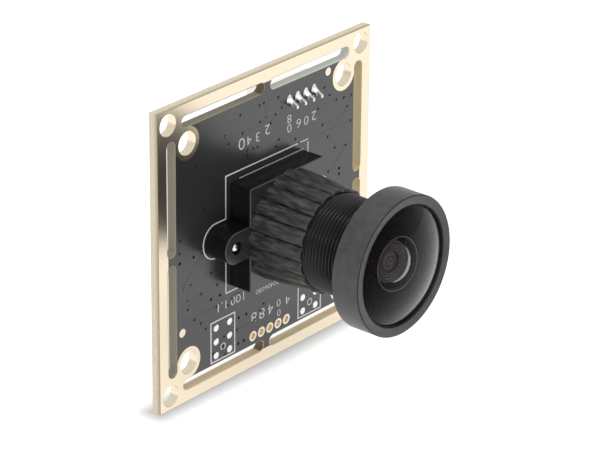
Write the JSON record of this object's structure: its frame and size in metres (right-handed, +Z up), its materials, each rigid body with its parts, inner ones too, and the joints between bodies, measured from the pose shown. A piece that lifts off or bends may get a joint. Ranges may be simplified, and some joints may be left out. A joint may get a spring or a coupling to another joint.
{
  "type": "board camera module",
  "caption": "Board camera: square circuit board with a snap-off rim, ribbed lens holder, wide-angle screw lens that turns to focus, and a cable header behind.",
  "frame": {"origin": "middle of the board's rear face, on the lens axis", "axes": "+Z up along the board, +Y out of the rear face, the lens looks along -Y"},
  "size_m": [0.038, 0.0279, 0.038],
  "materials": {
    "solder_mask": "semi-gloss black solder mask on glass-fibre laminate",
    "holder_plastic": "matt black moulding",
    "screw_steel": "bright steel",
    "sensor_ceramic": "matt dark ceramic",
    "cover_glass": "clear polished",
    "filter_glass": "pale cyan coated",
    "header_nylon": "off-white nylon",
    "tinned_brass": "bright tin plate",
    "solder": "bright solder",
    "chip_resin": "matt moulding resin",
    "can_steel": "brushed metal lid",
    "ferrite": "matt ferrite",
    "capacitor_ceramic": "tan ceramic",
    "resistor_ceramic": "black glazed ceramic",
    "black_anodised": "black anodised, satin",
    "ring_anodised": "charcoal anodised, satin",
    "lens_glass": "polished, coated"
  },
  "bodies": {
    "board": {"circuit_board": "solder_mask", "lens_holder": "holder_plastic", "holder_screws": "screw_steel", "image_sensor": "sensor_ceramic", "sensor_cover_glass": "cover_glass", "infrared_filter": "filter_glass", "header_housing": "header_nylon", "header_pins": "tinned_brass", "solder_joints": "solder", "solder_pads": "solder", "video_processor": "chip_resin", "flash_memory": "chip_resin", "crystal": "can_steel", "voltage_regulators": "chip_resin", "inductor": "ferrite", "capacitors": "capacitor_ceramic", "resistors": "resistor_ceramic", "diodes": "chip_resin"},
    "lens": {"lens_barrel": "black_anodised", "head_ring": "ring_anodised", "front_glass": "lens_glass", "second_glass": "lens_glass", "stepped_baffle": "black_anodised", "third_glass": "lens_glass", "aperture_stop": "black_anodised", "relay_glass": "lens_glass", "spacer_ring": "black_anodised", "rear_glass": "lens_glass", "rear_retainer": "black_anodised"}
  },
  "joints": [
    {"name": "lens_focus", "type": "hinge", "parent": "board", "child": "lens", "pos_m": [0, -0.0118, 0], "axis": [0, -1, 0], "range_deg": [-180, 180]}
  ]
}
